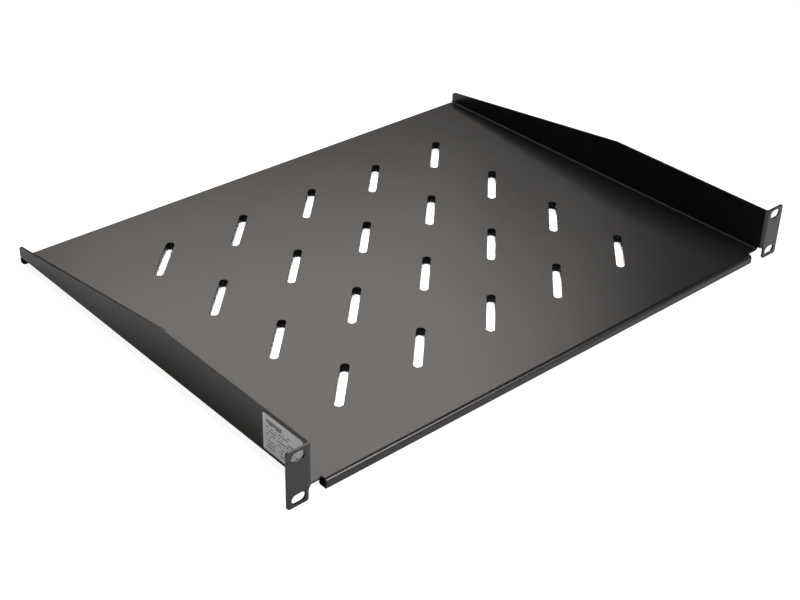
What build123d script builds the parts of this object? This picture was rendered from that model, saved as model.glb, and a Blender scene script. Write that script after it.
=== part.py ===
from build123d import *
import os

# Fixed rack shelf for a 19 inch rack, folded from one sheet, one unit high. All sizes in mm.
# X runs across the rack, Y runs to the back, Z is up.
# The origin is the middle of the four ear holes, on the back face of the ears.

# Sheet and bends
sheet = 1.5
bend_inside = 1.5
bend_outside = bend_inside + sheet
hem_inside = 0.6
hem_outside = hem_inside + sheet

# Ears and their holes
ear_span = 482.6
ear_height = 42.8
ear_corner = 2.0
ear_reach = 17.8
hole_inset = 8.75
hole_margin = 5.525
hole_length = 10.8
hole_height = 7.0

# Tray and cheeks
depth = 351.0
tray_lift = 8.1
cheek_level_run = 152.0
cheek_rear_rise = 9.3
cheek_rear_corner = 3.0

# Front lip
lip_inset = 12.7
lip_height = 8.0
lip_return = 11.5
lip_return_corner = 5.5
lip_relief_width = 2.2
lip_relief_depth = 1.4

# Relief where the ear fold stops above the tray, and the tray's front corners set back below it
ear_relief_corner = 2.4
corner_setback = 1.4
corner_round = 1.2

# Rear flange
rear_height = 8.0
rear_inset = 0.8
rear_corner = 3.5
rear_gap = 0.5
rear_tab_rise = 1.4
rear_relief_width = 1.0
rear_relief_depth = 1.0

# Tray slots
slot_columns = 5
slot_rows = 4
slot_pitch_x = 69.3
slot_pitch_y = 70.0
slot_length = 49.0
slot_width = 6.4
slot_angle = 45.0
slot_middle_x = -2.5
slot_front_row = 69.0

# Adhesive label on the left cheek
label_length = 40.0
label_height = 28.0
label_thick = 0.15
label_corner = 1.6
label_middle_y = 25.2
label_middle_z = 3.8

# Lines and faces that follow from the sizes above
half_body = ear_span / 2 - ear_reach
hole_half_span = ear_span / 2 - hole_inset
hole_half_rise = ear_height / 2 - hole_margin
lip_half = half_body - lip_inset
rear_half = half_body - rear_inset
ear_top = ear_height / 2
ear_fold_x = half_body + bend_inside
ear_foot = -ear_height / 2
tray_top = ear_foot + tray_lift
tray_under = tray_top - sheet
front_face = -sheet
bend_line = front_face + bend_outside
cheek_end = depth - sheet - rear_gap
rear_bend_line = depth - bend_outside
rear_bend_half = half_body - bend_outside - rear_relief_width
cheek_rear_top = tray_top + cheek_rear_rise
ear_relief_top = tray_top + bend_inside
past = 5.0


def box_between(x0, x1, y0, y1, z0, z1):
    block = Box(x1 - x0, y1 - y0, z1 - z0)
    return Pos((x0 + x1) / 2, (y0 + y1) / 2, (z0 + z1) / 2) * block


def extrude_along_y(outline, start, end):
    # the outline is drawn with x across and y upward
    solid = extrude(Plane.XZ * outline, amount=-(end - start))
    return Pos(0, start, 0) * solid


def extrude_along_x(outline, start, end):
    # the outline is drawn with x toward the back and y upward
    solid = extrude(Plane.YZ * outline, amount=end - start)
    return Pos(start, 0, 0) * solid


def rounded_rectangle(x0, x1, y0, y1, radius):
    shape = RectangleRounded(x1 - x0, y1 - y0, radius)
    return Pos((x0 + x1) / 2, (y0 + y1) / 2) * shape


def channel():
    # tray and both cheeks, as a channel with rounded lower bends
    round_room = past + bend_outside
    outer = rounded_rectangle(-half_body, half_body, tray_under, ear_top + round_room, bend_outside)
    inner = rounded_rectangle(
        -half_body + sheet, half_body - sheet, tray_top, ear_top + 2 * round_room, bend_inside
    )
    above = Pos(0, ear_top + round_room) * Rectangle(4 * half_body, 2 * round_room)
    return extrude_along_y(outer - inner - above, bend_line, cheek_end)


def cheek_outline():
    # side view of what stays: level at the front, then falling to the rear corner
    low = tray_under - past
    points = [
        (bend_line, low),
        (bend_line, ear_top),
        (cheek_level_run, ear_top),
        (cheek_end, cheek_rear_top),
        (cheek_end, low),
    ]
    face = make_face(Polyline(points, close=True))
    rear_top = face.vertices().sort_by(Axis.X)[-2:].sort_by(Axis.Y)[-1]
    return fillet(rear_top, cheek_rear_corner)


def ear(side):
    flat = rounded_rectangle(
        -ear_span / 2, -ear_fold_x, ear_foot, ear_top, ear_corner
    )
    # the folded edge stays square above the relief, so the flat meets the bend in full
    square = Pos(-ear_fold_x - ear_corner / 2, (ear_relief_top + ear_top) / 2) * Rectangle(
        ear_corner, ear_top - ear_relief_top
    )
    plate = extrude_along_y(flat + square, front_face, 0)
    for level in (-hole_half_rise, hole_half_rise):
        hole = Pos(-hole_half_span, level) * SlotOverall(hole_length, hole_height)
        plate -= extrude_along_y(hole, front_face - past, past)
    plate += ear_fold()
    return plate if side < 0 else mirror(plate, Plane.YZ)


def ear_fold():
    # quarter bend from the ear round to the cheek, stopped above the tray by a rounded relief
    ring = Circle(bend_outside) - Circle(bend_inside)
    quarter = ring & Pos(bend_outside, -bend_outside) * Rectangle(2 * bend_outside, 2 * bend_outside)
    low = ear_relief_top - ear_relief_corner
    bend = extrude(Pos(-ear_fold_x, bend_inside, low) * quarter, amount=ear_top - low)
    opening = rounded_rectangle(
        -ear_fold_x, -ear_fold_x + 4 * bend_outside, ear_relief_top - 4 * bend_outside,
        ear_relief_top, ear_relief_corner,
    )
    return bend - extrude_along_y(opening, front_face - past, bend_line + past)


def quarter_bend(inside, outside):
    # a quarter ring from straight up to the front, around its own centre
    ring = Circle(outside) - Circle(inside)
    return ring & Pos(-outside, outside) * Rectangle(2 * outside, 2 * outside)


def front_lip():
    # down, then back under the tray
    lip_bottom = tray_top - lip_height
    top = Pos(bend_line, tray_top - bend_outside) * quarter_bend(bend_inside, bend_outside)
    hem_y = front_face + hem_outside
    hem = Pos(hem_y, lip_bottom + hem_outside) * mirror(
        quarter_bend(hem_inside, hem_outside), Plane.XZ
    )
    face_top = tray_top - bend_outside
    face_low = lip_bottom + hem_outside
    face = Pos(front_face + sheet / 2, (face_top + face_low) / 2) * Rectangle(
        sheet, face_top - face_low
    )
    return_end = front_face + lip_return
    under = Pos((hem_y + return_end) / 2, lip_bottom + sheet / 2) * Rectangle(
        return_end - hem_y, sheet
    )
    lip = extrude_along_x(top + face + hem + under, -lip_half, lip_half)
    # rounded free corners of the return
    plan = rounded_rectangle(
        -lip_half, lip_half, front_face - past - lip_return_corner, return_end, lip_return_corner
    )
    return lip & extrude(Pos(0, 0, lip_bottom - past) * plan, amount=lip_height + 2 * past)


def lip_reliefs():
    # small notches beside the lip, cut past the bend line into the tray
    cuts = []
    for side in (-1, 1):
        x0 = lip_half
        x1 = x0 + lip_relief_width
        plan = Pos(side * (x0 + x1) / 2, bend_line) * SlotOverall(
            2 * lip_relief_depth + lip_relief_width, lip_relief_width, rotation=90
        )
        cuts.append(extrude(Pos(0, 0, tray_under - past) * plan, amount=sheet + 2 * past))
    return cuts


def corner_cuts():
    # between the lip and the ear, the tray and the lower bend end behind the bend line
    side_view = rounded_rectangle(
        front_face - past, bend_line + corner_setback, tray_under - past, ear_relief_top, corner_round
    )
    inner = lip_half + lip_relief_width
    cut = extrude_along_x(side_view, inner, half_body + past)
    return [cut, mirror(cut, Plane.YZ)]


def rear_bend():
    ring = mirror(quarter_bend(bend_inside, bend_outside), Plane.YZ)
    placed = Pos(rear_bend_line, tray_top - bend_outside) * ring
    return extrude_along_x(placed, -rear_bend_half, rear_bend_half)


def rear_flange():
    low = tray_top - rear_height
    high = tray_top - bend_outside
    outline = rounded_rectangle(
        -rear_half, rear_half, low, high + rear_corner, rear_corner
    )
    level = Pos(0, high + rear_corner) * Rectangle(4 * rear_half, 2 * rear_corner)
    outline -= level
    # small tabs beyond the bend that close the corners behind the cheeks
    tab_inner = rear_bend_half + rear_relief_width
    tab = Rectangle(rear_half - tab_inner, rear_tab_rise)
    for side in (-1, 1):
        outline += Pos(side * (tab_inner + rear_half) / 2, high + rear_tab_rise / 2) * tab
    return extrude_along_y(outline, depth - sheet, depth)


def rear_cuts():
    # room for the rear bend, and a relief at each of its ends
    cuts = [
        box_between(
            -rear_bend_half, rear_bend_half, rear_bend_line, depth + past,
            tray_under - past, tray_top + sheet,
        )
    ]
    for side in (-1, 1):
        x0 = side * rear_bend_half
        x1 = side * (rear_bend_half + rear_relief_width)
        cuts.append(
            box_between(
                min(x0, x1), max(x0, x1), rear_bend_line - rear_relief_depth, depth - sheet,
                tray_under - past, tray_top + sheet,
            )
        )
    return cuts


def tray_slots():
    cuts = []
    for column in range(slot_columns):
        for row in range(slot_rows):
            x = slot_middle_x + (column - (slot_columns - 1) / 2) * slot_pitch_x
            y = slot_front_row + row * slot_pitch_y
            plan = Pos(x, y) * SlotOverall(slot_length, slot_width, rotation=slot_angle)
            cuts.append(extrude(Pos(0, 0, tray_under - past) * plan, amount=sheet + 2 * past))
    return cuts


def shelf_sheet():
    body = channel() & extrude_along_x(cheek_outline(), -2 * half_body, 2 * half_body)
    for cut in rear_cuts() + lip_reliefs() + corner_cuts() + tray_slots():
        body -= cut
    for piece in (ear(-1), ear(1), front_lip(), rear_bend(), rear_flange()):
        body += piece
    return body.clean()


def side_label():
    outline = Pos(label_middle_y, label_middle_z) * RectangleRounded(
        label_length, label_height, label_corner
    )
    return extrude_along_x(outline, -half_body - label_thick, -half_body)


os.makedirs("parts", exist_ok=True)
export_step(shelf_sheet(), "parts/shelf_sheet.step")
export_step(side_label(), "parts/side_label.step")
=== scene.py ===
import math

import bpy
from mathutils import Matrix, Vector

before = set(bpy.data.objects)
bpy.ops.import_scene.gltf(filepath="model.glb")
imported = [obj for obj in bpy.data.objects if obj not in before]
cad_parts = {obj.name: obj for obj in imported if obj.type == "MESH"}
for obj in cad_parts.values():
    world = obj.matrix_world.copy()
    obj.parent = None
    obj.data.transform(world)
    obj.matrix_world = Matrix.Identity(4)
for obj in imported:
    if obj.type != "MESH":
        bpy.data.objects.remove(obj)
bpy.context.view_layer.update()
print("frame loaded:", ", ".join(sorted(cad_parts)))


# A socket that takes part in Python sums and products.
class Wire:
    def __init__(self, graph, socket):
        self.graph = graph
        self.socket = socket

    def maths(self, operation, first, second=None):
        inputs = [first] if second is None else [first, second]
        return self.graph.node("ShaderNodeMath", {"operation": operation}, inputs)

    def __add__(self, other):
        return self.maths("ADD", self, other)

    def __radd__(self, other):
        return self.maths("ADD", other, self)

    def __sub__(self, other):
        return self.maths("SUBTRACT", self, other)

    def __rsub__(self, other):
        return self.maths("SUBTRACT", other, self)

    def __mul__(self, other):
        return self.maths("MULTIPLY", self, other)

    def __rmul__(self, other):
        return self.maths("MULTIPLY", other, self)

    def __truediv__(self, other):
        return self.maths("DIVIDE", self, other)

    def __rtruediv__(self, other):
        return self.maths("DIVIDE", other, self)

    def __gt__(self, other):
        return self.maths("GREATER_THAN", self, other)

    def __lt__(self, other):
        return self.maths("LESS_THAN", self, other)

    def floor(self):
        return self.maths("FLOOR", self)

    def fraction(self):
        return self.maths("FRACT", self)

    def size(self):
        return self.maths("ABSOLUTE", self)

    def larger(self, other):
        return self.maths("MAXIMUM", self, other)

    # the first result below the first value, the second above the second, smooth between
    def ramp(self, low, high, start=0.0, end=1.0):
        return self.graph.node(
            "ShaderNodeMapRange",
            {"interpolation_type": "SMOOTHSTEP"},
            {"Value": self, "From Min": low, "From Max": high, "To Min": start, "To Max": end},
        )


# One node tree, of a material or of the world.
class Graph:
    def __init__(self, tree):
        self.tree = tree
        tree.nodes.clear()

    # settings are set first, then the values or links of the sockets, by name or in order
    def node(self, kind, settings=None, inputs=None, output=0):
        made = self.tree.nodes.new(kind)
        for name, value in (settings or {}).items():
            setattr(made, name, value)
        pairs = inputs.items() if isinstance(inputs, dict) else enumerate(inputs or [])
        for name, value in pairs:
            if isinstance(value, Wire):
                self.tree.links.new(value.socket, made.inputs[name])
            else:
                made.inputs[name].default_value = value
        return Wire(self, made.outputs[output]) if len(made.outputs) else made

    def mix(self, factor, first, second):
        return self.node(
            "ShaderNodeMix", {"data_type": "RGBA"}, {0: factor, 6: first, 7: second}, output=2
        )

    def noise(self, where, scale, detail, roughness):
        return self.node(
            "ShaderNodeTexNoise",
            {"noise_dimensions": "3D"},
            {"Vector": where, "Scale": scale, "Detail": detail, "Roughness": roughness},
        )

    # a random value from 0 to 1 for each cell that the three numbers name
    def chance(self, first, second, third):
        cell = self.node("ShaderNodeCombineXYZ", None, [first, second, third])
        return self.node("ShaderNodeTexWhiteNoise", {"noise_dimensions": "3D"}, {"Vector": cell})

    def place(self):
        return self.node("ShaderNodeTexCoord", output="Object")

    # the place along X, Y and Z, each on a wire of its own
    def axes(self, where):
        split = self.node("ShaderNodeSeparateXYZ", None, [where]).socket.node
        return [Wire(self, split.outputs[axis]) for axis in "XYZ"]


def newMaterial(name):
    material = bpy.data.materials.new(name)
    material.use_nodes = True
    return material, Graph(material.node_tree)


def grey(value, warmth=0.0):
    return (value * (1 + warmth), value, value * (1 - warmth), 1.0)


powderCoat = {
    "colour": grey(0.006, 0.03),
    "cloudColour": grey(0.0075, 0.05),  # broad paler patches
    "cloudNoise": (9.0, 3.0, 0.6),  # every noise is a scale per metre, a detail and a roughness
    "cloudRange": (0.35, 0.7),
    "roughness": 0.29,
    "cloudRoughness": 0.05,  # how far the patches and the grain change it
    "grainRoughness": 0.06,
    "peelNoise": (820.0, 2.0, 0.5),  # the soft dimples of the baked coat
    "grainNoise": (2300.0, 1.0, 0.5),  # the fine sandy texture on top of them
    "grainRange": (0.55, 0.8),
    "grainShare": 0.35,
    "edgeColour": grey(0.02, 0.02),  # where the coat runs thin
    "edgeRadius": 0.00028,
    "edgeSamples": 6,
    "edgeLean": (0.02, 0.22),  # from where the rounded normal's lean counts as an edge
    "edgeShare": 0.6,
    "rubNoise": (160.0, 3.0, 0.65),  # breaks the thin edges up
    "rubRange": (0.35, 0.7),
    "rubLeast": 0.25,
    "bumpStrength": 0.55,
    "bumpHeight": 0.000035,
    "peelPart": 0.7,  # of the bump, from the dimples and from the grain
    "grainPart": 0.3,
    "shine": 0.5,
}


def makePowderCoat():
    p = powderCoat
    material, g = newMaterial("powderCoat")
    where = g.place()
    peel = g.noise(where, *p["peelNoise"])
    grain = g.noise(where, *p["grainNoise"])
    cloud = g.noise(where, *p["cloudNoise"])

    # where the coat runs thin over an edge, found from how far a rounded normal leans away
    rounded = g.node("ShaderNodeBevel", {"samples": p["edgeSamples"]}, {"Radius": p["edgeRadius"]})
    flat = g.node("ShaderNodeNewGeometry", output="True Normal")
    facing = g.node(
        "ShaderNodeVectorMath", {"operation": "DOT_PRODUCT"}, [rounded, flat], output="Value"
    )
    edge = (1 - facing).ramp(*p["edgeLean"])
    rub = g.noise(where, *p["rubNoise"]).ramp(*p["rubRange"], p["rubLeast"])
    thin = edge * rub

    tone = g.mix(cloud.ramp(*p["cloudRange"]), p["colour"], p["cloudColour"])
    speck = g.mix(grain.ramp(*p["grainRange"]) * p["grainShare"], tone, p["edgeColour"])
    colour = g.mix(thin * p["edgeShare"], speck, p["edgeColour"])
    patchy = (cloud - 0.5) * p["cloudRoughness"]
    sandy = (grain - 0.5) * p["grainRoughness"]
    roughness = p["roughness"] + patchy + sandy

    height = peel * p["peelPart"] + grain * p["grainPart"]
    bump = g.node(
        "ShaderNodeBump", None,
        {"Strength": p["bumpStrength"], "Distance": p["bumpHeight"], "Height": height,
         "Normal": rounded},
    )
    shader = g.node(
        "ShaderNodeBsdfPrincipled", None,
        {"Base Color": colour, "Roughness": roughness, "Normal": bump,
         "Specular IOR Level": p["shine"]},
    )
    g.node("ShaderNodeOutputMaterial", None, {"Surface": shader})
    return material


label = {
    "colour": grey(0.70),
    "filmColour": grey(0.63),  # duller patches of the film
    "inkColour": grey(0.045),
    "front": 0.0052,  # the ends, the foot and the head of the label, in the frame's metres
    "rear": 0.0452,
    "foot": -0.0102,
    "head": 0.0178,
    "rows": 8,
    "blankRows": 3.0,  # one below the rows, two above them for the heading
    "barReach": 0.045,  # half a bar's height, squared, where a row is 1 high
    "cells": 26.0,  # along a whole row, each is ink or a gap
    "gapShare": 0.3,
    "gapSeed": 3.0,
    "margin": 0.09,  # this, the rows' ends and the heading are shares of the label's own sizes
    "shortest": 0.55,  # where the shortest row ends, and how much farther the longest can reach
    "longer": 0.37,
    "lengthSeed": (7.0, 1.0),
    "headingEnd": 0.48,
    "headingRise": (0.79, 0.885),
    "inkNoise": (900.0, 2.0, 0.6),
    "inkRange": (0.3, 0.7),
    "inkDepth": (0.55, 0.9),
    "mottleNoise": (420.0, 3.0, 0.6),
    "mottleRange": (0.3, 0.75),
    "roughness": 0.38,
    "mottleRoughness": 0.12,
    "bumpNoise": (700.0, 2.0, 0.5),
    "bumpStrength": 0.3,
    "bumpHeight": 0.00002,
}


def makeLabel():
    p = label
    material, g = newMaterial("labelFilm")
    where = g.place()
    _, back, height = g.axes(where)
    along = (p["rear"] - back) / (p["rear"] - p["front"])
    up = (height - p["foot"]) / (p["head"] - p["foot"])

    # plain bars in rows, each of its own length, in place of any print
    rowSpace = up * (p["rows"] + p["blankRows"])
    row = rowSpace.floor()
    inRow = rowSpace.fraction() - 0.5
    bar = inRow * inRow < p["barReach"]
    body = (row > 0.5) * (row < p["rows"] + 0.5)
    word = g.chance((along * p["cells"]).floor(), row, p["gapSeed"]) > p["gapShare"]
    rowEnd = p["shortest"] + g.chance(row, *p["lengthSeed"]) * p["longer"]
    inside = (along > p["margin"]) * (along < rowEnd)
    small = bar * body * word * inside
    low, high = p["headingRise"]
    headingRow = (up > low) * (up < high)
    heading = (along > p["margin"]) * (along < p["headingEnd"]) * headingRow
    depth = g.noise(where, *p["inkNoise"]).ramp(*p["inkRange"], *p["inkDepth"])
    ink = small.larger(heading) * depth

    mottle = g.noise(where, *p["mottleNoise"])
    film = g.mix(mottle.ramp(*p["mottleRange"]), p["colour"], p["filmColour"])
    colour = g.mix(ink, film, p["inkColour"])
    roughness = p["roughness"] + mottle * p["mottleRoughness"]
    bump = g.node(
        "ShaderNodeBump", None,
        {"Strength": p["bumpStrength"], "Distance": p["bumpHeight"],
         "Height": g.noise(where, *p["bumpNoise"])},
    )
    shader = g.node(
        "ShaderNodeBsdfPrincipled", None,
        {"Base Color": colour, "Roughness": roughness, "Normal": bump},
    )
    g.node("ShaderNodeOutputMaterial", None, {"Surface": shader})
    return material


def dress(node, material):
    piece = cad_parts[node]
    piece.data.materials.clear()
    piece.data.materials.append(material)


dress("shelf_sheet", makePowderCoat())
dress("side_label", makeLabel())
print("materials made")


floor = {
    "size": 9.0,
    "level": -0.0214,  # the ears' feet
    "colour": grey(0.82),
    "middle": (0.0, 0.1745),  # of the painted shade under the tray, a darker patch of ground
    "half": (0.2, 0.152),  # and its half width and half depth
    "softEdge": 0.004,
    "underTrayShade": grey(0.3),  # painted shade: the darker colour of that patch, which throws less light back
    "seenColour": grey(4.2),  # what the camera sees there, white wherever light gets through
    "cheekFoot": -0.2235,  # where the left cheek stands
    "earFace": 0.0,
    # painted shadow on the ground beside the left cheek's foot, between the ears' faces and the rear
    "cheekShadowColour": (0.41, 0.41, 0.355, 1.0),
    "cheekShadowReach": (0.0, 0.042),  # outward from the cheek, until the painted shadow is gone
    "cheekShadowFade": (0.13, 0.28),  # and toward the rear
    "shadowLeft": 0.1,  # how much of the object's shadow the camera still sees beside it
    "shadowReach": (0.3, 1.0),  # from where to where that share fades out
}


def makeFloorMaterial():
    p = floor
    material, g = newMaterial("floor")
    seen = g.node("ShaderNodeLightPath", output="Is Camera Ray")
    x, y, _ = g.axes(g.place())
    across = (x - p["middle"][0]).size() - p["half"][0]
    back = (y - p["middle"][1]).size() - p["half"][1]
    beyond = across.larger(back)
    around = beyond.ramp(0.0, p["softEdge"])
    near = beyond.ramp(*p["shadowReach"], 1.0, 0.0)

    # painted shadow: the ground that the left cheek's outer face mirrors is painted darker toward the
    # cheek's foot, so the cheek's reflection darkens there
    outward = (p["cheekFoot"] - x).ramp(*p["cheekShadowReach"])
    rearward = y.ramp(*p["cheekShadowFade"])
    pale = outward.larger(rearward).larger(y < p["earFace"])
    beside = g.mix(pale, p["cheekShadowColour"], p["colour"])
    # painted shade: under the tray the ground takes the darker patch colour, outside it the ground
    # keeps the painted shadow beside the left cheek
    ground = g.mix(around, p["underTrayShade"], beside)

    matt = g.node("ShaderNodeBsdfDiffuse", None, {"Color": g.mix(seen, ground, p["seenColour"])})
    white = g.node("ShaderNodeEmission", None, {"Color": grey(1.0), "Strength": 1.0})
    clean = around * (1.0 - near * p["shadowLeft"])
    top = g.node("ShaderNodeMixShader", None, [seen * clean, matt, white])
    # from underneath the floor is clear, so that the underside can be looked at
    under = g.node("ShaderNodeNewGeometry", output="Backfacing")
    through = g.node("ShaderNodeBsdfTransparent")
    shader = g.node("ShaderNodeMixShader", None, [under, top, through])
    g.node("ShaderNodeOutputMaterial", None, {"Surface": shader})
    return material


def makeFloor():
    half, level = floor["size"] / 2, floor["level"]
    corners = [(-half, -half, level), (half, -half, level), (half, half, level), (-half, half, level)]
    mesh = bpy.data.meshes.new("floor")
    mesh.from_pydata(corners, [], [(0, 1, 2, 3)])
    mesh.materials.append(makeFloorMaterial())
    plane = bpy.data.objects.new("floor", mesh)
    bpy.context.scene.collection.objects.link(plane)


makeFloor()


# azimuth turns from +Y towards +X, elevation is above the floor, both in degrees
softLamps = {
    "backPanel": {  # its mirror image is the sheen on the tray
        "azimuth": 31.6, "elevation": 50.5, "distance": 1.7,
        "size": (0.916, 1.436), "glow": 2.87, "colour": (1.06, 1.0, 0.94),
    },
    "sideStrip": {  # carries that sheen on toward the right cheek
        "azimuth": 54.1, "elevation": 47.3, "distance": 1.7,
        "size": (0.231, 1.09), "glow": 2.2, "colour": (1.06, 1.0, 0.94),
    },
    "topKey": {  # lights the ground through the slots
        "azimuth": 215.0, "elevation": 70.0, "distance": 1.9,
        "size": (0.25, 0.25), "glow": 45.0, "colour": (1.0, 1.0, 1.0),
    },
    "backEdge": {  # the light line along the right cheek's lower bend
        "azimuth": -15.0, "elevation": 48.0, "distance": 1.7,
        "size": (0.6, 0.6), "glow": 1.2, "colour": (1.0, 1.0, 1.0),
    },
    "frontFill": {  # the ground in front, which the ears and the lip mirror
        "azimuth": 160.0, "elevation": 34.0, "distance": 1.7,
        "size": (0.85, 0.75), "glow": 11.6, "colour": (1.02, 0.97, 1.05),
    },
    "leftFill": {  # the left cheek and its label
        "azimuth": 262.0, "elevation": 26.0, "distance": 1.7,
        "size": (0.9, 0.6), "glow": 1.8, "colour": (1.0, 0.99, 1.02),
    },
}
trayMiddle = Vector((0, 0.175, 0))


def makeLamp(name, p):
    data = bpy.data.lights.new(name, "AREA")
    data.shape = "RECTANGLE"
    data.size, data.size_y = p["size"]
    data.color = p["colour"]
    data.energy = p["glow"] * math.pi * data.size * data.size_y  # glow is the panel's own brightness
    lamp = bpy.data.objects.new(name, data)
    azimuth, elevation = math.radians(p["azimuth"]), math.radians(p["elevation"])
    out = Vector((math.sin(azimuth) * math.cos(elevation),
                  math.cos(azimuth) * math.cos(elevation), math.sin(elevation)))
    lamp.location = trayMiddle + out * p["distance"]
    lamp.rotation_mode = "QUATERNION"
    lamp.rotation_quaternion = out.to_track_quat("Z", "Y")
    bpy.context.scene.collection.objects.link(lamp)


for lampName, lampValues in softLamps.items():
    makeLamp(lampName, lampValues)


world = {
    "fill": 0.02,  # the light of the dark surroundings
    "seen": 1.0,  # how bright they are to the camera
}


def makeWorld():
    p = world
    studio = bpy.data.worlds.new("studio")
    studio.use_nodes = True
    g = Graph(studio.node_tree)
    seen = g.node("ShaderNodeLightPath", output="Is Camera Ray")
    level = p["fill"] + seen * (p["seen"] - p["fill"])
    sky = g.node("ShaderNodeBackground", None, {"Color": grey(1.0), "Strength": level})
    g.node("ShaderNodeOutputWorld", None, {"Surface": sky})
    bpy.context.scene.world = studio


makeWorld()
print("floor, lamps and world made")


camera = {
    "place": (-0.640544, -0.534717, 0.552002),
    "right": (0.74949, -0.661584, 0.023921),
    "up": (0.340025, 0.415704, 0.843548),
    "look": (0.568022, 0.624097, -0.536521),
    "lens": 65.3,
    "sensor": 36.0,
    "clip": (0.05, 30.0),
}


def makeCamera():
    p = camera
    data = bpy.data.cameras.new("camera")
    data.sensor_fit = "HORIZONTAL"
    data.sensor_width = p["sensor"]
    data.lens = p["lens"]
    data.clip_start, data.clip_end = p["clip"]
    body = bpy.data.objects.new("camera", data)
    right, up, look = (Vector(p[k]).normalized() for k in ("right", "up", "look"))
    turn = Matrix((right, up, -look)).transposed()
    body.matrix_world = Matrix.Translation(p["place"]) @ turn.to_4x4()
    bpy.context.scene.collection.objects.link(body)
    bpy.context.scene.camera = body


makeCamera()
bpy.context.scene.view_settings.view_transform = "Standard"
